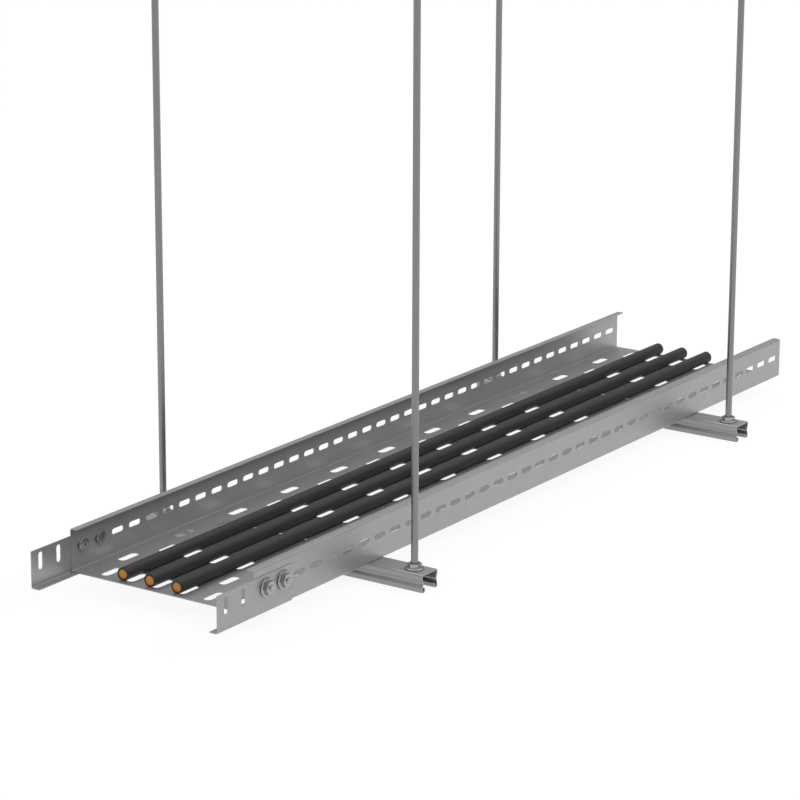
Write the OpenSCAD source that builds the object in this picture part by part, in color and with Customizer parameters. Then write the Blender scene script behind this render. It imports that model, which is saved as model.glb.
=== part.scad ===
// Cable raceway: a perforated steel tray that rests on two strut channels, which hang
// on four rods. A pair of splice couplers is bolted to one end of the tray, and three
// cables lie in it. Millimetres, X along the tray, Y across it, Z up.
// The origin is on the ground under the middle of the assembly.

/* [Tray] */
// Length of the tray
tray_len = 1150; // [600:10:3000]
// Outer width across the side walls
tray_w = 250; // [200:5:600]
// Outer height of the side walls
tray_h = 50; // [48:1:110]
// Sheet thickness of the tray
tray_t = 1; // [0.7:0.1:2]
// Width of the flange turned inward on top of each wall
tray_flange = 10; // [6:0.5:20]
// Inside radius of the tray's bends
tray_bend = 1; // [0.5:0.1:2]

/* [Wall slots] */
// Length of a slot in the side walls
wall_slot_len = 20; // [14:0.5:24]
// Width of a slot in the side walls
wall_slot_w = 6.5; // [6.2:0.1:9]
// Spacing of the wall slots
wall_slot_pitch = 30; // [28:1:50]
// Distance from the tray's end to the middle of the first wall slot
wall_slot_end = 20; // [15:1:40]
// Height of the wall slots' middle above the tray's underside
wall_slot_z = 27; // [20:0.5:30]

/* [Floor slots] */
// Length of a slot in the floor
floor_slot_len = 30; // [20:1:44]
// Width of a slot in the floor
floor_slot_w = 10.5; // [6:0.5:14]
// Spacing of the floor slots along a row
floor_slot_pitch = 100; // [50:5:200]
// Spacing of the rows across the floor
floor_row_pitch = 17.5; // [15:0.5:40]
// Distance from the tray's end to the middle of the first floor slot
floor_slot_end = 24.5; // [24:0.5:80]
// Least land between a floor slot and a wall's bend
floor_land = 8; // [2:0.5:15]

/* [Couplers] */
// Sheet thickness of the couplers
coupler_t = 1; // [0.8:0.1:2]
// Height of a coupler above the tray's underside
coupler_rise = 41; // [38:1:47]
// Width of the lip turned in under the floor
coupler_lip = 11; // [6:0.5:20]
// Inside radius of the coupler's bend
coupler_bend = 1; // [0.5:0.1:1.2]
// Width of an upright slot in the couplers
coupler_slot_w = 7; // [6.5:0.1:9]
// Length of an upright slot in the couplers
coupler_slot_len = 20; // [12:0.5:24]
// Distance from the outer slot's middle to the coupler's end
coupler_margin = 15; // [8:1:30]

/* [Coupler bolts] */
// Diameter of the coupler bolts
bolt_d = 6; // [4:0.1:6.1]
// Diameter of the round bolt heads
bolt_head_d = 16; // [12:0.5:20]
// Height of the bolt heads
bolt_head_h = 3; // [2.5:0.1:5]
// Radius of the bolt heads' rounded rim
bolt_head_round = 1; // [0.3:0.1:2]
// Length of an arm of the cross recess, from tip to tip
recess_len = 6.5; // [4:0.5:9]
// Width of an arm of the cross recess
recess_w = 1.5; // [1:0.1:2]
// Depth of the cross recess
recess_depth = 1.5; // [0.8:0.1:2]
// How far a bolt stands out of its nut
bolt_tip = 2; // [0:0.1:5]

/* [Nuts] */
// Width across the flats of the flange nuts
nut_af = 14.5; // [12:0.1:16]
// Height of the nuts
nut_h = 6.5; // [5:0.1:8.5]
// Diameter of the nuts' flanges
nut_flange_d = 22; // [20:0.5:24]
// Thickness of the flange at its rim
nut_rim = 0.7; // [0.5:0.1:1.5]
// Height at which the flange runs into the flats
nut_skirt = 2; // [1.6:0.1:3]
// Depth of the countersink round the top of a nut's bore
nut_sink = 1; // [0.4:0.1:1.5]

/* [Struts] */
// Length of a strut channel
strut_len = 390; // [300:5:900]
// Width of the strut section
strut_w = 30; // [27:0.5:41]
// Height of the strut section
strut_h = 21; // [19:0.5:30]
// Sheet thickness of the struts
strut_t = 1.5; // [1.2:0.1:2]
// Width of the mouth between the strut's lips
strut_mouth = 18; // [14:0.5:20]
// Height of the strut's turned-up lips
strut_lip = 5; // [3:0.5:6]
// Inside radius of the strut's bends
strut_bend = 0.5; // [0.3:0.1:0.8]
// Depth of the groove rolled along the strut's sides
groove_depth = 1.8; // [1.4:0.1:2.2]
// Height of the groove's middle above the strut's underside
groove_z = 10.5; // [9:0.1:12]
// Distance from the tray's end to the first strut's middle
strut_end = 225; // [150:1:300]
// Spacing of the two struts
strut_pitch = 700; // [200:10:2500]

/* [Hanger rods] */
// Diameter of the rods
rod_d = 8; // [6:0.1:10]
// Length of the rods
rod_len = 1000; // [300:50:3000]
// Distance from a strut's end to the middle of its rod
rod_inset = 20; // [15:0.5:30]
// How far a rod stands out below its lower nut
rod_tip = 2; // [0:0.1:6]
// Width by which a rod hole is larger than the rod
rod_hole_play = 1; // [0.4:0.1:2]

/* [Cables] */
// Diameter of a cable over its sheath
cable_d = 15; // [13:0.5:24]
// Diameter of the copper core
core_d = 10.5; // [5:0.1:12.5]
// Spacing of the cables
cable_pitch = 37; // [26:0.5:45]
// Distance of the middle cable from the tray's middle
cable_y = 21; // [-30:0.5:30]
// Distance of the cable ends from the tray's coupled end
cable_near = 7; // [2:0.5:60]
// Distance of the cable ends from the tray's free end
cable_far = 1; // [0.5:0.5:60]

/* [Hidden] */
$fn = 48;

// Fits and helpers
thread_gap = 0.05;
seat_gap = 0.1;
core_gap = 0.05;
cut = 1;
cables = 3;

// Places along the tray
coupler_half = wall_slot_end + wall_slot_pitch + coupler_margin;
overall_len = tray_len + coupler_half;
near_x = coupler_half - overall_len / 2;
strut_x = [for (i = [0 : 1]) near_x + strut_end + i * strut_pitch];
joint_slot_x = [wall_slot_end, wall_slot_end + wall_slot_pitch];

// Place of the rods along a strut
rod_y = strut_len / 2 - rod_inset;

// Heights
tray_z = strut_h;
slot_z = tray_z + wall_slot_z;
strut_inside_z = strut_h - strut_t;
rod_z = strut_inside_z - nut_h - rod_tip;
cable_z = tray_z + tray_t + seat_gap + cable_d / 2;

// Bends, as radii of the outer face
tray_corner = tray_bend + tray_t;
coupler_corner = coupler_bend + coupler_t;
strut_corner = strut_bend + strut_t;

// Groove of the strut's sides: two outer bends and an inner one that run into each other.
// Their angle is one of a 3-4-5 triangle, so that the arcs end on round numbers.
groove_angle = atan(3 / 4);
groove_bend = 2 * strut_t;
groove_outer = groove_bend + strut_t;
groove_inner = groove_depth / (1 - cos(groove_angle)) - groove_outer;
groove_rise = (groove_outer + groove_inner) * sin(groove_angle);

// Rows of floor slots on each side of the middle row
floor_rows = floor((tray_w / 2 - tray_corner - floor_land - floor_slot_w / 2) / floor_row_pitch);

SIDES = ["front", "back"];
SIDE_Y = [-1, 1];
STEEL = "#a2a2a2";
DARK_STEEL = "#8a8a8a";

// Sector of a ring of sheet, from the X axis anticlockwise
module ring_sector(r, t, angle) {
    reach = 2 * (r + t);
    intersection() {
        difference() {
            circle(r = r + t);
            circle(r = r);
        }
        polygon([[0, 0], for (a = [0, angle / 2, angle]) reach * [cos(a), sin(a)]]);
    }
}

// Section of bent sheet as a chain of steps, each a straight leg, then a bend by an
// angle, left positive, about an inside radius. The outer face runs along the X axis.
module sheet_chain(steps, t, i = 0) {
    if (i < len(steps)) {
        leg = steps[i][0];
        angle = steps[i][1];
        r = steps[i][2];
        pivot = angle < 0 ? -r : t + r;
        if (leg > 0)
            square([leg, t]);
        if (angle != 0)
            translate([leg, pivot]) {
                rotate(angle < 0 ? 90 + angle : -90) ring_sector(r, t, abs(angle));
                rotate(angle) translate([0, -pivot]) sheet_chain(steps, t, i + 1);
            }
    }
}

// Flat shape with round ends, along the X axis
module obround(length, width) {
    run = length - width;
    square([run, width], center = true);
    for (end = [-1, 1])
        translate([end * run / 2, 0]) circle(d = width);
}

// Cutter for a slot, through the XY plane
module slot(length, width, depth) {
    translate([0, 0, -depth / 2]) linear_extrude(depth) obround(length, width);
}

// Sheet section in Y and Z, drawn out along X
module along_x(length) {
    rotate([90, 0, 90]) linear_extrude(length) children();
}

module tray_section() {
    translate([tray_flange - tray_w / 2, tray_h]) rotate(180)
        sheet_chain([
            [tray_flange - tray_corner, 90, tray_bend],
            [tray_h - 2 * tray_corner, 90, tray_bend],
            [tray_w - 2 * tray_corner, 90, tray_bend],
            [tray_h - 2 * tray_corner, 90, tray_bend],
            [tray_flange - tray_corner, 0, 0]
        ], tray_t);
}

module wall_slots() {
    for (x = [wall_slot_end : wall_slot_pitch : tray_len - wall_slot_end], side = SIDE_Y)
        translate([x, side * (tray_w - tray_t) / 2, wall_slot_z]) rotate([90, 0, 0])
            slot(wall_slot_len, wall_slot_w, tray_t + 2 * cut);
}

// Every second row starts half a spacing further in
module floor_slots() {
    for (row = [-floor_rows : floor_rows]) {
        first = floor_slot_end + (row % 2 == 0 ? floor_slot_pitch / 2 : 0);
        for (x = [first : floor_slot_pitch : tray_len - floor_slot_end])
            translate([x, row * floor_row_pitch, tray_t / 2])
                slot(floor_slot_len, floor_slot_w, tray_t + 2 * cut);
    }
}

module tray() {
    color(STEEL) translate([near_x, 0, tray_z])
        difference() {
            along_x(tray_len) tray_section();
            wall_slots();
            floor_slots();
        }
}

module coupler_section() {
    translate([-tray_w / 2 - coupler_t, coupler_rise]) rotate(-90)
        sheet_chain([
            [coupler_rise + coupler_t - coupler_corner, 90, coupler_bend],
            [coupler_lip - coupler_corner, 0, 0]
        ], coupler_t);
}

module coupler(side) {
    color(STEEL) translate([near_x, 0, tray_z]) mirror([0, side > 0 ? 1 : 0, 0])
        difference() {
            translate([-coupler_half, 0, 0]) along_x(2 * coupler_half) coupler_section();
            for (x = joint_slot_x, end = [-1, 1])
                translate([end * x, -(tray_w + coupler_t) / 2, wall_slot_z]) rotate([90, 90, 0])
                    slot(coupler_slot_len, coupler_slot_w, coupler_t + 2 * cut);
        }
}

// Places its child at a coupler bolt, with Z pointing out of the tray
module at_joint(side, i, y) {
    translate([near_x + joint_slot_x[i], side * y, slot_z]) rotate([-90 * side, 0, 0]) children();
}

// Round flat head with a rounded rim and a cross recess, seated on the XY plane
module bolt_head() {
    flat_r = bolt_head_d / 2 - bolt_head_round;
    rim_h = bolt_head_h - bolt_head_round;
    difference() {
        rotate_extrude() {
            square([flat_r, bolt_head_h]);
            square([bolt_head_d / 2, rim_h]);
            translate([flat_r, rim_h]) circle(r = bolt_head_round);
        }
        for (turn = [45, 135])
            translate([0, 0, bolt_head_h]) rotate(turn)
                cube([recess_len, recess_w, 2 * recess_depth], center = true);
    }
}

// Bolt with its head on the wall's inner face
module coupler_bolt(side, i) {
    shank = tray_t + coupler_t + nut_h + bolt_tip;
    color(DARK_STEEL) at_joint(side, i, tray_w / 2 - tray_t) {
        cylinder(d = bolt_d, h = shank);
        mirror([0, 0, 1]) bolt_head();
    }
}

// Hexagon nut with a flange, seated on the XY plane
module flange_nut(bolt) {
    bore = bolt + 2 * thread_gap;
    corner_d = nut_af / cos(30);
    face_d = 0.95 * nut_af;
    chamfer = (corner_d - face_d) / 2 * tan(30);
    edge = nut_rim / 4;
    difference() {
        union() {
            rotate_extrude()
                polygon([
                    [0, 0], [nut_flange_d / 2 - edge, 0], [nut_flange_d / 2, edge],
                    [nut_flange_d / 2, nut_rim], [nut_af / 2, nut_skirt], [0, nut_skirt]
                ]);
            intersection() {
                cylinder(d = corner_d, h = nut_h, $fn = 6);
                rotate_extrude()
                    polygon([
                        [0, 0], [corner_d / 2, 0], [corner_d / 2, nut_h - chamfer],
                        [face_d / 2, nut_h], [0, nut_h]
                    ]);
            }
        }
        translate([0, 0, -cut]) cylinder(d = bore, h = nut_h + 2 * cut);
        translate([0, 0, nut_h - nut_sink])
            cylinder(d1 = bore, d2 = bore + 2 * (nut_sink + cut), h = nut_sink + cut);
    }
}

module coupler_nut(side, i) {
    color(DARK_STEEL) at_joint(side, i, tray_w / 2 + coupler_t) flange_nut(bolt_d);
}

module strut_section() {
    lip_w = (strut_w - strut_mouth) / 2;
    wall_low = groove_z - groove_rise - strut_corner;
    wall_high = strut_h - groove_z - groove_rise - strut_corner;
    lip = [lip_w - 2 * strut_corner, 90, strut_bend];
    groove = [[0, -2 * groove_angle, groove_inner], [0, groove_angle, groove_bend]];
    translate([strut_mouth / 2, strut_lip]) rotate(-90)
        sheet_chain(concat(
            [[strut_lip - strut_corner, 90, strut_bend], lip],
            [[wall_low, groove_angle, groove_bend]], groove,
            [[wall_high, 90, strut_bend], [strut_w - 2 * strut_corner, 90, strut_bend]],
            [[wall_high, groove_angle, groove_bend]], groove,
            [[wall_low, 90, strut_bend], lip, [strut_lip - strut_corner, 0, 0]]
        ), strut_t);
}

// Channel with its mouth down and a hole in its back for each rod
module strut(i) {
    color(DARK_STEEL) translate([strut_x[i], 0, 0])
        difference() {
            translate([0, strut_len / 2, 0]) rotate([90, 0, 0]) linear_extrude(strut_len) strut_section();
            for (side = SIDE_Y)
                translate([0, side * rod_y, strut_inside_z - cut])
                    cylinder(d = rod_d + rod_hole_play, h = strut_t + 2 * cut);
        }
}

// Places its child on a rod's axis, at a height
module at_rod(i, side, z) {
    translate([strut_x[i], side * rod_y, z]) children();
}

module rod(i, side) {
    color(DARK_STEEL) at_rod(i, side, rod_z) cylinder(d = rod_d, h = rod_len);
}

module upper_nut(i, side) {
    color(DARK_STEEL) at_rod(i, side, strut_h) flange_nut(rod_d);
}

module lower_nut(i, side) {
    color(DARK_STEEL) at_rod(i, side, strut_inside_z) mirror([0, 0, 1]) flange_nut(rod_d);
}

// Places its child on a cable's axis, with Z along the tray
module at_cable(i) {
    y = cable_y + (i - (cables - 1) / 2) * cable_pitch;
    translate([near_x + cable_near, y, cable_z]) rotate([0, 90, 0]) children();
}

module cable_sheath(i) {
    length = tray_len - cable_near - cable_far;
    color("#3a3a3a") at_cable(i)
        difference() {
            cylinder(d = cable_d, h = length);
            translate([0, 0, -cut]) cylinder(d = core_d + 2 * core_gap, h = length + 2 * cut);
        }
}

module cable_core(i) {
    color("#b87d35") at_cable(i) cylinder(d = core_d, h = tray_len - cable_near - cable_far);
}

tray();
for (s = [0 : 1]) {
    coupler(SIDE_Y[s]);
    for (i = [0 : 1]) {
        joint = str(SIDES[s], "_", i + 1);
        hanger = str(i + 1, "_", SIDES[s]);
        coupler_bolt(SIDE_Y[s], i);
        coupler_nut(SIDE_Y[s], i);
        rod(i, SIDE_Y[s]);
        upper_nut(i, SIDE_Y[s]);
        lower_nut(i, SIDE_Y[s]);
    }
}
for (i = [0 : 1])
    strut(i);
for (i = [0 : cables - 1]) {
    cable_sheath(i);
    cable_core(i);
}
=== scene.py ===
"""Looks of a hung cable raceway.

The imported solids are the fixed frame. This script gives each of them its finish, cuts real
threads on the ends of the hanger rods and on the coupler bolts, makes the flange nuts with
their teeth and bevels, and sets up the studio. Lengths are in metres unless a name ends in mm.
"""
import logging
import math
from dataclasses import dataclass
from enum import Enum

import bmesh
import bpy
from mathutils import Matrix, Vector


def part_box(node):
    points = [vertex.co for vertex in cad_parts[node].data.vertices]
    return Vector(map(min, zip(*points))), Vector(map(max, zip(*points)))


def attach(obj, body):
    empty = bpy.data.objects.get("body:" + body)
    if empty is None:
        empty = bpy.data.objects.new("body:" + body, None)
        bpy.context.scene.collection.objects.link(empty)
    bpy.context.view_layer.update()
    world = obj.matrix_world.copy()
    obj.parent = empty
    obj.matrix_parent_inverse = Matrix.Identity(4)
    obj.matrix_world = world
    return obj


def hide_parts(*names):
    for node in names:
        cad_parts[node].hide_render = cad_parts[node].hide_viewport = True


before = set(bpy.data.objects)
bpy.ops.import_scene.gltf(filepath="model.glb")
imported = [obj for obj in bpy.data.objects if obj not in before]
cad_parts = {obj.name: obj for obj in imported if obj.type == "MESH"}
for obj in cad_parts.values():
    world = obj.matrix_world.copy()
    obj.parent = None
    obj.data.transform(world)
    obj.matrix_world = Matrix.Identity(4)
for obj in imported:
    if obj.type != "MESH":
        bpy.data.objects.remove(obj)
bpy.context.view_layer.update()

LOG = logging.getLogger("raceway")
MM = 0.001
BODY = "root"

# Numbers in the names of nodes that come in sets
STRUTS = (1, 2)
COUPLER_BOLTS = (1, 2)
CABLES = (1, 2, 3)

# Points that lie closer than this are one point, and a sharper bend than this is a crisp edge
MERGE_GAP = 2e-6
SHARP_BEND = math.radians(40)

# Places of a Mix node's colour sockets, which share their names with its number sockets
COLOUR_A = 6
COLOUR_B = 7
COLOUR_RESULT = 2

# The type of node that does one step of arithmetic
MATH = "ShaderNodeMath"

# A pattern's tone, its sheen and the height of its relief
Pattern = tuple[bpy.types.NodeSocket, bpy.types.NodeSocket, bpy.types.NodeSocket]

# A number in a tree: a plain value, an output, or a node whose first output gives it
Number = float | bpy.types.NodeSocket | bpy.types.Node


class Side(Enum):
    """A long side of the raceway. Its value is the sign of the Y direction out of the tray."""

    FRONT = -1
    BACK = 1

    @property
    def word(self) -> str:
        """The side's word in the nodes' names."""
        return self.name.lower()


class Level(Enum):
    """Place of a nut on a rod. Its value is the turn about X that points the nut away from the strut."""

    UPPER = 0.0
    LOWER = math.pi

    @property
    def word(self) -> str:
        """The level's word in the nodes' names."""
        return self.name.lower()


class Run(Enum):
    """Axis along which a surface's lines run. Its value is the axis's place in a vector."""

    X = 0
    Y = 1


def linear(hex_code: str) -> tuple[float, float, float, float]:
    """Turn an sRGB hex colour into linear light.

    Args:
        hex_code: Six hex digits after a hash.

    Returns:
        Red, green, blue and alpha, from 0 to 1.
    """
    levels = [int(hex_code[i:i + 2], 16) / 255 for i in (1, 3, 5)]
    red, green, blue = [s / 12.92 if s <= 0.04045 else ((s + 0.055) / 1.055) ** 2.4 for s in levels]
    return red, green, blue, 1.0


def per_mm(size_mm: float) -> float:
    """Scale of a pattern on metric coordinates whose features measure size_mm."""
    return 1 / (size_mm * MM)


def add_node(tree: bpy.types.NodeTree, kind: str, settings: dict | None = None,
             inputs: dict | None = None) -> bpy.types.Node:
    """Add a node with its settings and links.

    Args:
        tree: The tree that gets the node.
        kind: Name of the node's type.
        settings: Values of the node's own properties.
        inputs: What each input takes, as for feed.

    Returns:
        The new node.
    """
    node = tree.nodes.new(kind)
    for name, value in (settings or {}).items():
        setattr(node, name, value)
    feed(tree, node, inputs or {})
    return node


def feed(tree: bpy.types.NodeTree, node: bpy.types.Node, inputs: dict) -> None:
    """Set or link a node's inputs.

    Args:
        tree: The node's tree.
        node: The node.
        inputs: For each input, by name or number, a value, the output that is linked to it, or a node
            whose first output is linked to it.
    """
    for key, value in inputs.items():
        source = value.outputs[0] if isinstance(value, bpy.types.Node) else value
        if isinstance(source, bpy.types.NodeSocket):
            tree.links.new(source, node.inputs[key])
        else:
            node.inputs[key].default_value = source


def new_material(name: str) -> tuple[bpy.types.Material, bpy.types.NodeTree, bpy.types.Node]:
    """Start a material with a plain Principled shader.

    Args:
        name: The material's name.

    Returns:
        The material, its tree and its shader.
    """
    material = bpy.data.materials.new(name)
    material.use_nodes = True
    return material, material.node_tree, material.node_tree.nodes["Principled BSDF"]


@dataclass(frozen=True, kw_only=True)
class Finish:
    """A surface whose colour runs between two tones, with a relief too shallow for the mesh."""

    name: str
    dark: str
    light: str
    metallic: float
    smooth: float
    rough: float
    relief_mm: float
    specular: float = 0.5

    def build(self) -> bpy.types.Material:
        """Make the material from the finish's own pattern.

        Returns:
            The material.
        """
        material, tree, shader = new_material(self.name)
        tone, sheen, height = self._pattern(tree, add_node(tree, "ShaderNodeTexCoord").outputs["Object"])
        colour = add_node(tree, "ShaderNodeMix", {"data_type": "RGBA"},
                          {"Factor": tone, COLOUR_A: linear(self.dark), COLOUR_B: linear(self.light)})
        bump = add_node(tree, "ShaderNodeBump", None, {"Height": height, "Distance": self.relief_mm * MM})
        roughness = self.rough
        if self.smooth < self.rough:
            gloss = add_node(tree, "ShaderNodeMapRange", None,
                             {"Value": sheen, "To Min": self.smooth, "To Max": self.rough})
            roughness = gloss.outputs["Result"]
        feed(tree, shader, {
            "Base Color": colour.outputs[COLOUR_RESULT], "Metallic": self.metallic, "Roughness": roughness,
            "Specular IOR Level": self.specular, "Normal": bump.outputs["Normal"],
        })
        return material

    def _pattern(self, tree: bpy.types.NodeTree, place: bpy.types.NodeSocket) -> Pattern:
        """Make the finish's own pattern."""
        raise NotImplementedError


@dataclass(frozen=True, kw_only=True)
class GalvanisedSheet(Finish):
    """Hot-dip galvanised sheet: satin grey zinc with a faint frozen spangle and a soft cloud of tone."""

    name: str = "galvanised_sheet_satin"
    dark: str = "#A9A9A9"
    light: str = "#B0B0B0"
    metallic: float = 0.67
    smooth: float = 0.38
    rough: float = 0.42
    spangle_mm: float = 7.0
    cloud_mm: float = 90.0
    cloud_share: float = 0.5
    # The zinc's peel is finer on real sheet, and is drawn this coarse to show
    peel_mm: float = 2.5
    relief_mm: float = 0.0015

    def _pattern(self, tree: bpy.types.NodeTree, place: bpy.types.NodeSocket) -> Pattern:
        """Lay a spangle over a cloud, with a fine peel.

        Args:
            tree: The material's tree.
            place: Metric coordinates.

        Returns:
            The tone, the sheen and the height of the relief.
        """
        spangle = add_node(tree, "ShaderNodeTexVoronoi", {"feature": "F1"},
                           {"Vector": place, "Scale": per_mm(self.spangle_mm)})
        grain = add_node(tree, "ShaderNodeSeparateColor", None, {"Color": spangle.outputs["Color"]}).outputs
        cloud = add_node(tree, "ShaderNodeTexNoise", None,
                         {"Vector": place, "Scale": per_mm(self.cloud_mm), "Detail": 3.0})
        tone = add_node(tree, "ShaderNodeMix", None,
                        {"Factor": self.cloud_share, "A": grain["Red"], "B": cloud.outputs["Fac"]})
        peel = add_node(tree, "ShaderNodeTexNoise", None,
                        {"Vector": place, "Scale": per_mm(self.peel_mm), "Detail": 2.0})
        return tone.outputs["Result"], grain["Green"], peel.outputs["Fac"]


@dataclass(frozen=True, kw_only=True)
class ZincPlate(Finish):
    """Electro-zinc plate on turned and rolled steel: a fine even sheen that dulls in small patches."""

    name: str = "zinc_plated_steel"
    dark: str = "#A6A6A6"
    light: str = "#AEAEAE"
    metallic: float = 0.8
    smooth: float = 0.18
    rough: float = 0.24
    patch_mm: float = 5.0
    # The plate's grain is finer on real steel, and is drawn this coarse to show
    grain_mm: float = 0.5
    relief_mm: float = 0.0003

    def _pattern(self, tree: bpy.types.NodeTree, place: bpy.types.NodeSocket) -> Pattern:
        """Scatter dull patches over a fine grain.

        Args:
            tree: The material's tree.
            place: Metric coordinates.

        Returns:
            The tone, the sheen and the height of the relief.
        """
        patch = add_node(tree, "ShaderNodeTexNoise", None,
                         {"Vector": place, "Scale": per_mm(self.patch_mm), "Detail": 4.0}).outputs["Fac"]
        grain = add_node(tree, "ShaderNodeTexNoise", None,
                         {"Vector": place, "Scale": per_mm(self.grain_mm), "Detail": 2.0})
        return patch, patch, grain.outputs["Fac"]


@dataclass(frozen=True, kw_only=True)
class RodZinc(ZincPlate):
    """Zinc plate on the rods: a darker grey than on the nuts and bolts, which is painted shade, and a
    duller, rougher sheen.
    """

    name: str = "zinc_plated_rod"
    # Darker tones than the nuts' plate: painted shade on the upright rods
    dark: str = "#8A8A8A"
    light: str = "#929292"
    smooth: float = 0.30
    rough: float = 0.34


@dataclass(frozen=True, kw_only=True)
class LinedFinish(Finish):
    """A surface with fine lines that run one way, drawn coarser than the real ones so that they show."""

    line_mm: float
    line_run_mm: float
    run: Run
    detail: float = 3.0

    def _pattern(self, tree: bpy.types.NodeTree, place: bpy.types.NodeSocket) -> Pattern:
        """Stretch a noise along the lines.

        Args:
            tree: The material's tree.
            place: Metric coordinates.

        Returns:
            The tone, the sheen and the height of the relief, which the same lines give.
        """
        scale = [per_mm(self.line_mm)] * 3
        scale[self.run.value] = per_mm(self.line_run_mm)
        drawn = add_node(tree, "ShaderNodeMapping", None, {"Vector": place, "Scale": scale})
        noise = add_node(tree, "ShaderNodeTexNoise", None,
                         {"Vector": drawn.outputs["Vector"], "Scale": 1.0, "Detail": self.detail})
        lines = noise.outputs["Fac"]
        return lines, lines, lines


@dataclass(frozen=True, kw_only=True)
class RolledGalvanised(LinedFinish):
    """Strip that was galvanised and then roll-formed: satin zinc with fine streaks along the strut."""

    name: str = "galvanised_strip_rolled"
    dark: str = "#A8A8A8"
    light: str = "#B1B1B1"
    metallic: float = 0.5
    smooth: float = 0.32
    rough: float = 0.38
    line_mm: float = 1.2
    line_run_mm: float = 120.0
    run: Run = Run.Y
    relief_mm: float = 0.004


@dataclass(frozen=True, kw_only=True)
class SheathPvc(LinedFinish):
    """Extruded black PVC: matt, with faint draw lines along the cable and a fine grain."""

    name: str = "pvc_cable_sheath_black"
    dark: str = "#2B2B2B"
    light: str = "#333333"
    metallic: float = 0.0
    smooth: float = 0.55
    rough: float = 0.55
    specular: float = 0.35
    line_mm: float = 1.0
    line_run_mm: float = 150.0
    run: Run = Run.X
    detail: float = 4.0
    relief_mm: float = 0.01


@dataclass(frozen=True, kw_only=True)
class CutCopper(LinedFinish):
    """Copper conductor, cut square: a warm satin face with fine shear lines."""

    name: str = "copper_cut"
    dark: str = "#AC7430"
    light: str = "#B98040"
    metallic: float = 1.0
    smooth: float = 0.36
    rough: float = 0.36
    line_mm: float = 0.7
    line_run_mm: float = 12.0
    run: Run = Run.Y
    relief_mm: float = 0.008


@dataclass(frozen=True)
class ThreadForm:
    """Sizes of a metric thread."""

    diameter: float
    pitch: float
    chamfer: float
    sides: int = 24
    depth_per_pitch: float = 0.6134

    @property
    def depth(self) -> float:
        """Depth of the thread on a bar, from crest to root."""
        return self.depth_per_pitch * self.pitch


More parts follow.
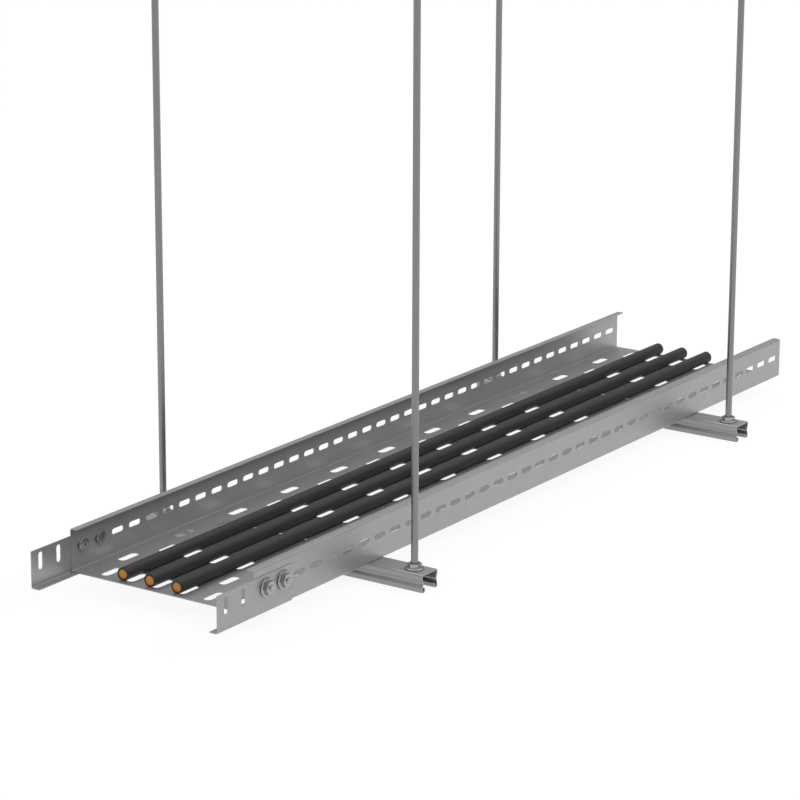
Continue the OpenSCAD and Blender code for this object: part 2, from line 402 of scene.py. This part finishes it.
class RolledTree:
    """Geometry Nodes tree of a turned piece that stands on the XY plane along Z.

    A flat grid is rolled up about Z: its columns become sides and its rows follow the profile.
    """

    NAME = "rolled_piece"
    SIZES: tuple[str, ...] = ()
    PLACING = {
        "Sides": "NodeSocketInt", "Place": "NodeSocketVector", "Turn": "NodeSocketRotation",
        "Finish": "NodeSocketMaterial",
    }
    GRID = 1.0

    def __init__(self) -> None:
        """Build the tree."""
        self.tree = bpy.data.node_groups.new(self.NAME, "GeometryNodeTree")
        kinds = dict.fromkeys(self.SIZES, "NodeSocketFloat") | self.PLACING
        self.sockets = {
            name: self.tree.interface.new_socket(name, in_out="INPUT", socket_type=kind)
            for name, kind in kinds.items()
        }
        self.tree.interface.new_socket("Piece", in_out="OUTPUT", socket_type="NodeSocketGeometry")
        self.sizes = add_node(self.tree, "NodeGroupInput").outputs
        spot = add_node(self.tree, "GeometryNodeInputPosition")
        flat = add_node(self.tree, "ShaderNodeSeparateXYZ", None, {0: spot}).outputs
        self.around = add_node(self.tree, MATH, {"operation": "ADD"}, {0: flat["X"], 1: self.GRID / 2})
        self.up = add_node(self.tree, MATH, {"operation": "ADD"}, {0: flat["Y"], 1: self.GRID / 2})
        self.angle = add_node(self.tree, MATH, {"operation": "MULTIPLY"}, {0: self.around, 1: math.tau})
        self._finish(self._shape())

    def _shape(self) -> bpy.types.Node:
        """Shape the piece, standing on the XY plane."""
        raise NotImplementedError

    def _row(self, strips: Number) -> bpy.types.Node:
        """Number of a point's row on a grid of so many strips."""
        place = add_node(self.tree, MATH, {"operation": "MULTIPLY"}, {0: self.up, 1: strips})
        return add_node(self.tree, MATH, {"operation": "ROUND"}, {0: place})

    def _roll(self, strips: Number, radius: Number, height: Number) -> bpy.types.Node:
        """Roll a grid up about Z.

        Args:
            strips: Number of strips between its rows.
            radius: Radius at each point.
            height: Height of each point.

        Returns:
            The rolled grid, with open seams.
        """
        tree = self.tree
        columns = add_node(tree, MATH, {"operation": "ADD"}, {0: self.sizes["Sides"], 1: 1.0})
        rows = add_node(tree, MATH, {"operation": "ADD"}, {0: strips, 1: 1.0})
        grid = add_node(tree, "GeometryNodeMeshGrid", None, {
            "Size X": self.GRID, "Size Y": self.GRID, "Vertices X": columns, "Vertices Y": rows,
        })
        cosine = add_node(tree, MATH, {"operation": "COSINE"}, {0: self.angle})
        sine = add_node(tree, MATH, {"operation": "SINE"}, {0: self.angle})
        rolled = add_node(tree, "ShaderNodeCombineXYZ", None, {
            "X": add_node(tree, MATH, {"operation": "MULTIPLY"}, {0: radius, 1: cosine}),
            "Y": add_node(tree, MATH, {"operation": "MULTIPLY"}, {0: radius, 1: sine}),
            "Z": height,
        })
        return add_node(tree, "GeometryNodeSetPosition", None, {"Geometry": grid, "Position": rolled})

    def _finish(self, shape: bpy.types.Node) -> None:
        """Close the seams of the shape, put it in its place and give it its finish.

        Args:
            shape: The shape, with open seams.
        """
        closed = add_node(self.tree, "GeometryNodeMergeByDistance", None,
                          {"Geometry": shape, "Distance": MERGE_GAP})
        placed = add_node(self.tree, "GeometryNodeTransform", None, {
            "Geometry": closed, "Translation": self.sizes["Place"], "Rotation": self.sizes["Turn"],
        })
        real = add_node(self.tree, "GeometryNodeRealizeInstances", None, {"Geometry": placed})
        dressed = add_node(self.tree, "GeometryNodeSetMaterial", None,
                           {"Geometry": real, "Material": self.sizes["Finish"]})
        add_node(self.tree, "NodeGroupOutput", None, {0: dressed})

    def make(self, sizes: dict[str, float], foot: Vector, turn: float,
             finish: bpy.types.Material) -> bpy.types.Mesh:
        """Make one piece as a plain mesh.

        Args:
            sizes: A value for each of the tree's sizes, and the number of sides.
            foot: Middle of its foot.
            turn: Angle by which it is turned about X, from upright.
            finish: Its material.

        Returns:
            The mesh, with its place in it.
        """
        carrier = bpy.data.objects.new(self.NAME, bpy.data.meshes.new(self.NAME))
        bpy.context.scene.collection.objects.link(carrier)
        modifier = carrier.modifiers.new(self.NAME, "NODES")
        modifier.node_group = self.tree
        for key, value in {**sizes, "Place": foot, "Turn": (turn, 0.0, 0.0), "Finish": finish}.items():
            modifier[self.sockets[key].identifier] = value
        evaluated = carrier.evaluated_get(bpy.context.evaluated_depsgraph_get())
        mesh = bpy.data.meshes.new_from_object(evaluated)
        bpy.data.objects.remove(carrier)
        return mesh


class ThreadTree(RolledTree):
    """Geometry Nodes tree of a threaded end.

    Each row of the grid climbs one pitch a turn. Even rows are crests and odd rows are roots, and a
    row that ends on a seam meets the row two further on. The thread runs out into a full round at its
    foot, which stays open, and has a chamfered tip.
    """

    NAME = "threaded_end"
    SIZES = ("Length", "Radius", "Depth", "Pitch", "Chamfer")
    ROWS_A_PITCH = 2
    # Turns past each end of the thread, which are pressed flat onto that end
    SPARE_TURNS = 1

    def _shape(self) -> bpy.types.Node:
        """Shape the thread's flanks and its flat tip.

        Returns:
            The threaded end, with open seams.
        """
        tree, size = self.tree, self.sizes
        pitches = add_node(tree, MATH, {"operation": "DIVIDE"}, {0: size["Length"], 1: size["Pitch"]})
        full_turns = add_node(tree, MATH, {"operation": "CEIL"}, {0: pitches})
        turns = add_node(tree, MATH, {"operation": "ADD"}, {0: full_turns, 1: 2 * self.SPARE_TURNS})
        strips = add_node(tree, MATH, {"operation": "MULTIPLY"}, {0: turns, 1: self.ROWS_A_PITCH})
        row = self._row(strips)
        # Height of each point, held between the foot and the tip
        start = add_node(tree, MATH, {"operation": "MULTIPLY_ADD"},
                         {0: row, 1: 1 / self.ROWS_A_PITCH, 2: -self.SPARE_TURNS})
        climb = add_node(tree, MATH, {"operation": "ADD"}, {0: start, 1: self.around})
        rise = add_node(tree, MATH, {"operation": "MULTIPLY"}, {0: climb, 1: size["Pitch"]})
        inside = add_node(tree, "ShaderNodeClamp", None, {"Value": rise, "Min": 0.0, "Max": size["Length"]})
        # Radius of each point: roots deepen over the first pitch, and the chamfer cuts the tip
        is_root = add_node(tree, MATH, {"operation": "MODULO"}, {0: row, 1: self.ROWS_A_PITCH})
        sunk = add_node(tree, MATH, {"operation": "MULTIPLY"}, {0: is_root, 1: size["Depth"]})
        turns_up = add_node(tree, MATH, {"operation": "DIVIDE"}, {0: inside, 1: size["Pitch"]})
        cut = add_node(tree, MATH, {"operation": "MINIMUM"}, {0: turns_up, 1: 1.0})
        groove = add_node(tree, MATH, {"operation": "MULTIPLY"}, {0: sunk, 1: cut})
        flank = add_node(tree, MATH, {"operation": "SUBTRACT"}, {0: size["Radius"], 1: groove})
        tip_radius = add_node(tree, MATH, {"operation": "SUBTRACT"}, {0: size["Radius"], 1: size["Chamfer"]})
        below_tip = add_node(tree, MATH, {"operation": "SUBTRACT"}, {0: size["Length"], 1: inside})
        tapered = add_node(tree, MATH, {"operation": "ADD"}, {0: tip_radius, 1: below_tip})
        radius = add_node(tree, MATH, {"operation": "MINIMUM"}, {0: flank, 1: tapered})
        flanks = self._roll(strips, radius, inside)
        disc = add_node(tree, "GeometryNodeMeshCircle", {"fill_type": "NGON"},
                        {"Vertices": size["Sides"], "Radius": tip_radius})
        lift = add_node(tree, "ShaderNodeCombineXYZ", None, {"Z": size["Length"]})
        tip = add_node(tree, "GeometryNodeTransform", None, {"Geometry": disc, "Translation": lift})
        parts = add_node(tree, "GeometryNodeJoinGeometry")
        for part in (flanks, tip):
            feed(tree, parts, {0: part})
        return parts

    def cut(self, thread: ThreadForm, length: float, foot: Vector, turn: float,
            finish: bpy.types.Material) -> bpy.types.Mesh:
        """Cut one threaded end.

        Args:
            thread: Sizes of the thread.
            length: Length from the foot to the tip.
            foot: Middle of the open foot.
            turn: Angle by which the end is turned about X, from upright.
            finish: Its material.

        Returns:
            The mesh, with its place in it.
        """
        sizes = {
            "Length": length, "Radius": thread.diameter / 2, "Depth": thread.depth, "Pitch": thread.pitch,
            "Chamfer": thread.chamfer, "Sides": thread.sides,
        }
        return self.make(sizes, foot, turn, finish)


class NutTree(RolledTree):
    """Geometry Nodes tree of a hexagon nut with a flange.

    The rows follow one closed profile: a seat with teeth, a rounded rim, a sloping skirt, the
    bevelled hexagon and the bore. The hexagon has a corner on the X axis.
    """

    NAME = "flange_nut"
    SIZES = (
        "Across", "Height", "Flange", "Rim", "Rim height", "Seat", "Tooth", "Slope", "Bevel", "Bore", "Sink",
    )
    # Angles of the points round the flange's rim
    RIM_ARC = tuple(math.radians(degrees) for degrees in (-60, -25, 10, 45, 70))
    SIXTH = math.tau / 6
    COLUMNS_A_TOOTH = 2

    def _shape(self) -> bpy.types.Node:
        """Give each row of the grid its own point of the profile, and roll it up.

        Returns:
            The nut, with open seams.
        """
        profile = self._profile()
        strips = len(profile) - 1
        row = self._row(strips)
        picked = []
        for values in zip(*profile):
            switch = add_node(self.tree, "GeometryNodeIndexSwitch", {"data_type": "FLOAT"}, {"Index": row})
            while len(switch.index_switch_items) < len(values):
                switch.index_switch_items.new()
            feed(self.tree, switch, dict(enumerate(values, start=1)))
            picked.append(switch)
        radius, height = picked
        return self._roll(strips, radius, height)

    def _profile(self) -> list[tuple[Number, Number]]:
        """Work out the closed profile, from the foot of the bore outwards, up and back.

        Returns:
            Radius and height of each of its points.
        """
        tree, size = self.tree, self.sizes
        flat = add_node(tree, MATH, {"operation": "MULTIPLY"}, {0: size["Across"], 1: 0.5})
        in_sixth = add_node(tree, MATH, {"operation": "MODULO"}, {0: self.angle, 1: self.SIXTH})
        off_flat = add_node(tree, MATH, {"operation": "SUBTRACT"}, {0: in_sixth, 1: self.SIXTH / 2})
        cosine = add_node(tree, MATH, {"operation": "COSINE"}, {0: off_flat})
        hexagon = add_node(tree, MATH, {"operation": "DIVIDE"}, {0: flat, 1: cosine})
        place = add_node(tree, MATH, {"operation": "MULTIPLY"}, {0: self.around, 1: size["Sides"]})
        column = add_node(tree, MATH, {"operation": "ROUND"}, {0: place})
        is_gap = add_node(tree, MATH, {"operation": "MODULO"}, {0: column, 1: self.COLUMNS_A_TOOTH})
        tooth = add_node(tree, MATH, {"operation": "MULTIPLY"}, {0: is_gap, 1: size["Tooth"]})
        inset = add_node(tree, MATH, {"operation": "MULTIPLY"}, {0: size["Rim"], 1: -1.0})
        rim_radius = add_node(tree, MATH, {"operation": "MULTIPLY_ADD"},
                              {0: size["Flange"], 1: 0.5, 2: inset})
        rim = []
        for turn in self.RIM_ARC:
            out = add_node(tree, MATH, {"operation": "MULTIPLY_ADD"},
                           {0: size["Rim"], 1: math.cos(turn), 2: rim_radius})
            up = add_node(tree, MATH, {"operation": "MULTIPLY_ADD"},
                          {0: size["Rim"], 1: math.sin(turn), 2: size["Rim height"]})
            rim.append((out, up))
        rim_end, rim_top = rim[-1]
        reach = add_node(tree, MATH, {"operation": "SUBTRACT"}, {0: rim_end, 1: hexagon})
        skirt = add_node(tree, MATH, {"operation": "MULTIPLY_ADD"}, {0: reach, 1: size["Slope"], 2: rim_top})
        shoulder = add_node(tree, MATH, {"operation": "SUBTRACT"}, {0: size["Height"], 1: size["Bevel"]})
        crown = add_node(tree, MATH, {"operation": "SUBTRACT"}, {0: hexagon, 1: size["Bevel"]})
        bore = add_node(tree, MATH, {"operation": "MULTIPLY"}, {0: size["Bore"], 1: 0.5})
        sink_radius = add_node(tree, MATH, {"operation": "ADD"}, {0: bore, 1: size["Sink"]})
        sink_foot = add_node(tree, MATH, {"operation": "SUBTRACT"}, {0: size["Height"], 1: size["Sink"]})
        return [
            (bore, 0.0), (hexagon, 0.0), (size["Seat"], tooth), *rim, (hexagon, skirt), (hexagon, shoulder),
            (crown, size["Height"]), (sink_radius, size["Height"]), (bore, sink_foot), (bore, 0.0),
        ]


def open_edges(work: bmesh.types.BMesh) -> list[bmesh.types.BMEdge]:
    """Edges round the holes of a mesh."""
    return [edge for edge in work.edges if edge.is_boundary]


def shade(work: bmesh.types.BMesh) -> None:
    """Turn all faces outwards and shade them smooth, with crisp edges.

    Args:
        work: The mesh.
    """
    bmesh.ops.recalc_face_normals(work, faces=work.faces)
    for face in work.faces:
        face.smooth = True
    for edge in work.edges:
        edge.smooth = edge.calc_face_angle(0) < SHARP_BEND


def new_piece(name: str, work: bmesh.types.BMesh, finish: bpy.types.Material) -> bpy.types.Object:
    """Turn a worked mesh into a piece.

    Args:
        name: The piece's name.
        work: Its mesh, in its place, which is used up.
        finish: Its material.

    Returns:
        The new piece, at the origin.
    """
    mesh = bpy.data.meshes.new(name)
    work.to_mesh(mesh)
    work.free()
    mesh.materials.append(finish)
    piece = bpy.data.objects.new(name, mesh)
    bpy.context.scene.collection.objects.link(piece)
    return piece


def fit(piece: bpy.types.Object, node: str) -> None:
    """Let a piece stand for a CAD node.

    Args:
        piece: The finished piece.
        node: The node that it replaces.
    """
    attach(piece, BODY)
    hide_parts(node)
    LOG.info("%s stands for %s: %d faces", piece.name, node, len(piece.data.polygons))


@dataclass(frozen=True)
class DressedNodes:
    """CAD nodes that keep their shape and get one finish."""

    names: tuple[str, ...]
    finish: bpy.types.Material

    def dress(self) -> None:
        """Put the finish on every node."""
        for name in self.names:
            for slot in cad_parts[name].material_slots:
                slot.material = self.finish
            LOG.info("dressed %s with %s", name, self.finish.name)


@dataclass(frozen=True)
class HangerRods:
    """Round rods that the raceway hangs on, with a thread at each end."""

    thread: ThreadForm
    finish: bpy.types.Material
    top_thread: float = 60 * MM
    # The lower thread starts this far below the top of the upper nut, out of sight
    nut_cover: float = 1 * MM

    def build(self, tree: ThreadTree) -> None:
        """Make each rod from two threaded ends and a plain shank.

        Args:
            tree: Maker of threaded ends.
        """
        for strut in STRUTS:
            for side in Side:
                node = f"rod_{strut}_{side.word}"
                low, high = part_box(node)
                nut_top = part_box(f"upper_nut_{strut}_{side.word}")[1].z
                middle = (low + high) / 2
                shank_low = Vector((middle.x, middle.y, nut_top - self.nut_cover))
                shank_high = Vector((middle.x, middle.y, high.z - self.top_thread))
                work = bmesh.new()
                work.from_mesh(tree.cut(self.thread, shank_low.z - low.z, shank_low, math.pi, self.finish))
                work.from_mesh(tree.cut(self.thread, self.top_thread, shank_high, 0.0, self.finish))
                shank_ends = open_edges(work)
                bmesh.ops.bridge_loops(work, edges=shank_ends)
                shade(work)
                for edge in shank_ends:
                    edge.smooth = False
                fit(new_piece(f"threaded_{node}", work, self.finish), node)


@dataclass(frozen=True)
class CouplerBolts:
    """Flat-headed bolts of the couplers, head inside the tray."""

    thread: ThreadForm
    finish: bpy.types.Material
    head_height: float = 3 * MM
    # Plain neck between the head and the thread
    neck: float = 0.4 * MM

    def build(self, tree: ThreadTree) -> None:
        """Make each bolt from the solid's head and a threaded shank.

        Args:
            tree: Maker of threaded ends.
        """
        for side in Side:
            outward = Vector((0, side.value, 0))
            for number in COUPLER_BOLTS:
                node = f"coupler_bolt_{side.word}_{number}"
                low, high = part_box(node)
                middle = (low + high) / 2
                head_y, tip_y = (high.y, low.y) if side is Side.FRONT else (low.y, high.y)
                seat = Vector((middle.x, head_y, middle.z)) + outward * self.head_height
                foot = seat + outward * self.neck
                work = self._head(node, (seat + foot) / 2, outward)
                length = abs(tip_y - foot.y)
                work.from_mesh(tree.cut(self.thread, length, foot, -side.value * math.pi / 2, self.finish))
                bmesh.ops.bridge_loops(work, edges=open_edges(work))
                shade(work)
                fit(new_piece(f"threaded_{node}", work, self.finish), node)

    def _head(self, node: str, cut: Vector, outward: Vector) -> bmesh.types.BMesh:
        """Copy a bolt's solid and cut its shank off.

        Args:
            node: The bolt's node.
            cut: Point where the shank is cut.
            outward: Direction of the shank.

        Returns:
            The head with a short neck, open where it was cut.
        """
        work = bmesh.new()
        work.from_mesh(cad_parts[node].data)
        bmesh.ops.remove_doubles(work, verts=work.verts, dist=MERGE_GAP)
        solid = [*work.verts, *work.edges, *work.faces]
        bmesh.ops.bisect_plane(work, geom=solid, plane_co=cut, plane_no=outward, clear_outer=True)
        return work


@dataclass(frozen=True)
class FlangeNuts:
    """Hexagon nuts with a toothed flange, on the coupler bolts and above and below the struts."""

    finish: bpy.types.Material
    across: float = 14.5 * MM
    height: float = 6.5 * MM
    flange: float = 22 * MM
    # Radius of the flange's rounded rim, and height of the middle of that round
    rim: float = 0.7 * MM
    rim_height: float = 1.0 * MM
    # Radius of the toothed ring under the flange, and depth between its teeth
    seat: float = 9.0 * MM
    tooth: float = 0.35 * MM
    # Rise of the skirt for its run, from the rim to the hexagon
    slope: float = 0.2
    bevel: float = 0.3 * MM
    sink: float = 0.4 * MM
    bolt_bore: float = 6.1 * MM
    rod_bore: float = 8.1 * MM
    sides: int = 48

    def build(self, tree: NutTree) -> None:
        """Make every nut in its place.

        Args:
            tree: Maker of nuts.
        """
        for side in Side:
            for number in COUPLER_BOLTS:
                node = f"coupler_nut_{side.word}_{number}"
                low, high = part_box(node)
                foot = (low + high) / 2
                foot.y = high.y if side is Side.FRONT else low.y
                self._nut(tree, node, foot, -side.value * math.pi / 2, self.bolt_bore)
            for strut in STRUTS:
                for level in Level:
                    node = f"{level.word}_nut_{strut}_{side.word}"
                    low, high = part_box(node)
                    foot = (low + high) / 2
                    foot.z = low.z if level is Level.UPPER else high.z
                    self._nut(tree, node, foot, level.value, self.rod_bore)

    def _nut(self, tree: NutTree, node: str, foot: Vector, turn: float, bore: float) -> None:
        """Make one nut and let it stand for its node.

        Args:
            tree: Maker of nuts.
            node: The nut's node.
            foot: Middle of its seat.
            turn: Angle by which it is turned about X, from upright.
            bore: Diameter of its bore.
        """
        sizes = {
            "Across": self.across, "Height": self.height, "Flange": self.flange, "Rim": self.rim,
            "Rim height": self.rim_height, "Seat": self.seat, "Tooth": self.tooth, "Slope": self.slope,
            "Bevel": self.bevel, "Bore": bore, "Sink": self.sink, "Sides": self.sides,
        }
        work = bmesh.new()
        work.from_mesh(tree.make(sizes, foot, turn, self.finish))
        shade(work)
        fit(new_piece(f"toothed_{node}", work, self.finish), node)


@dataclass(frozen=True)
class Viewpoint:
    """Camera at the photograph's viewing angle. An azimuth of 0 looks along +Y."""

    aim: tuple[float, float, float] = (-0.0166, 0.0520, 0.1048)
    distance: float = 4.0589
    azimuth: float = math.radians(-55.492)
    elevation: float = math.radians(16.017)
    roll: float = math.radians(0.192)
    lens_mm: float = 152.88
    sensor_mm: float = 36.0
    far_clip: float = 100.0

    def build(self) -> None:
        """Place the camera and make it the scene's own."""
        camera = bpy.data.cameras.new("camera")
        camera.lens = self.lens_mm
        camera.sensor_width = self.sensor_mm
        camera.clip_end = self.far_clip
        holder = bpy.data.objects.new("camera", camera)
        turn = (Matrix.Rotation(self.azimuth, 4, "Z") @ Matrix.Rotation(math.pi / 2 - self.elevation, 4, "X")
                @ Matrix.Rotation(self.roll, 4, "Z"))
        eye = Vector(self.aim) + turn @ Vector((0, 0, self.distance))
        holder.matrix_world = Matrix.Translation(eye) @ turn
        bpy.context.scene.collection.objects.link(holder)
        bpy.context.scene.camera = holder


def ray_kinds(tree: bpy.types.NodeTree) -> tuple[bpy.types.NodeSocket, bpy.types.NodeSocket]:
    """Tell the rays that show the surroundings from those that only carry their light.

    Args:
        tree: Tree of the floor or the sky.

    Returns:
        Outputs that are 1 for a ray from the camera, and for one from metal or through glass.
    """
    rays = add_node(tree, "ShaderNodeLightPath").outputs
    mirrored = add_node(tree, MATH, {"operation": "ADD"},
                        {0: rays["Is Glossy Ray"], 1: rays["Is Transmission Ray"]})
    return rays["Is Camera Ray"], mirrored.outputs[0]


@dataclass(frozen=True)
class Studio:
    """Plain pale floor and soft even light. The floor shows white and keeps a faint shadow."""

    floor_size: float = 60.0
    floor_drop: float = 0.0002
    floor_colour: str = "#F2F2F2"
    shadow_share: float = 0.12
    glow: float = 1.03
    sky_colour: str = "#FFFFFF"
    sky_seen: float = 1.0
    sky_fill: float = 0.84
    low_sky: float = 0.31
    high_sky: float = 1.45
    # Heights on a sky of radius 1 between which it brightens
    rise_from: float = 0.48
    rise_to: float = 0.82
    lamp_place: tuple[float, float, float] = (2.2, -2.6, 2.8)
    lamp_size: float = 2.4
    lamp_power: float = 60.0

    def build(self) -> None:
        """Set up the view, the floor, the sky and the lamp."""
        bpy.context.scene.view_settings.view_transform = "Standard"
        self._floor()
        self._sky()
        self._lamp()

    def _floor(self) -> None:
        """Lay a wide floor just under the struts."""
        half = self.floor_size / 2
        mesh = bpy.data.meshes.new("floor")
        corners = [(x * half, y * half, -self.floor_drop) for x, y in ((-1, -1), (1, -1), (1, 1), (-1, 1))]
        mesh.from_pydata(corners, [], [(0, 1, 2, 3)])
        floor = bpy.data.objects.new("floor", mesh)
        bpy.context.scene.collection.objects.link(floor)
        material, tree, shader = new_material("studio_floor")
        tree.nodes.remove(shader)
        direct, mirrored = ray_kinds(tree)
        seen = add_node(tree, MATH, {"operation": "ADD"}, {0: direct, 1: mirrored})
        level = add_node(tree, MATH, {"operation": "MULTIPLY"}, {0: seen, 1: self.glow})
        white = add_node(tree, "ShaderNodeEmission", None, {"Strength": level})
        matt = add_node(tree, "ShaderNodeBsdfDiffuse", None, {"Color": linear(self.floor_colour)})
        mixed = add_node(tree, "ShaderNodeMixShader", None, {0: self.shadow_share, 1: white, 2: matt})
        feed(tree, tree.nodes["Material Output"], {"Surface": mixed})
        mesh.materials.append(material)

    def _sky(self) -> None:
        """Surround the scene with white to the camera and an even fill; metal sees it brighten overhead."""
        world = bpy.data.worlds.new("surround")
        world.use_nodes = True
        bpy.context.scene.world = world
        tree = world.node_tree
        direct, mirrored = ray_kinds(tree)
        toward = add_node(tree, "ShaderNodeSeparateXYZ", None,
                          {0: add_node(tree, "ShaderNodeTexCoord").outputs["Generated"]})
        overhead = add_node(tree, "ShaderNodeMapRange", {"interpolation_type": "SMOOTHSTEP"}, {
            "Value": toward.outputs["Z"], "From Min": self.rise_from, "From Max": self.rise_to,
            "To Min": self.low_sky, "To Max": self.high_sky,
        })
        lit = add_node(tree, "ShaderNodeMix", None, {"Factor": mirrored, "A": self.sky_fill, "B": overhead})
        level = add_node(tree, "ShaderNodeMix", None, {"Factor": direct, "A": lit, "B": self.sky_seen})
        feed(tree, tree.nodes["Background"], {"Color": linear(self.sky_colour), "Strength": level})

    def _lamp(self) -> None:
        """Hang a large soft lamp at the front right, above the raceway."""
        lamp = bpy.data.lights.new("soft_lamp", "AREA")
        lamp.shape = "DISK"
        lamp.size = self.lamp_size
        lamp.energy = self.lamp_power
        holder = bpy.data.objects.new("soft_lamp", lamp)
        holder.location = self.lamp_place
        holder.rotation_euler = (-Vector(self.lamp_place)).to_track_quat("-Z", "Y").to_euler()
        holder.visible_glossy = False
        bpy.context.scene.collection.objects.link(holder)


def numbered(stem: str, numbers: tuple[int, ...]) -> tuple[str, ...]:
    """Names of a set's nodes, which end in their numbers."""
    return tuple(f"{stem}_{number}" for number in numbers)


def main() -> None:
    """Dress the raceway, piece by piece, and stage it."""
    logging.basicConfig(level=logging.INFO, format="%(name)s: %(message)s")
    Viewpoint().build()
    Studio().build()
    couplers = [f"coupler_{side.word}" for side in Side]
    DressedNodes(("tray", *couplers), GalvanisedSheet().build()).dress()
    DressedNodes(numbered("strut", STRUTS), RolledGalvanised().build()).dress()
    DressedNodes(numbered("cable_sheath", CABLES), SheathPvc().build()).dress()
    DressedNodes(numbered("cable_core", CABLES), CutCopper().build()).dress()
    threads = ThreadTree()
    rod_thread = ThreadForm(diameter=8 * MM, pitch=1.25 * MM, chamfer=0.9 * MM)
    HangerRods(rod_thread, RodZinc().build()).build(threads)
    zinc = ZincPlate().build()
    bolt_thread = ThreadForm(diameter=6 * MM, pitch=1.0 * MM, chamfer=0.7 * MM)
    CouplerBolts(bolt_thread, zinc).build(threads)
    FlangeNuts(zinc).build(NutTree())


if __name__ == "__main__":
    main()
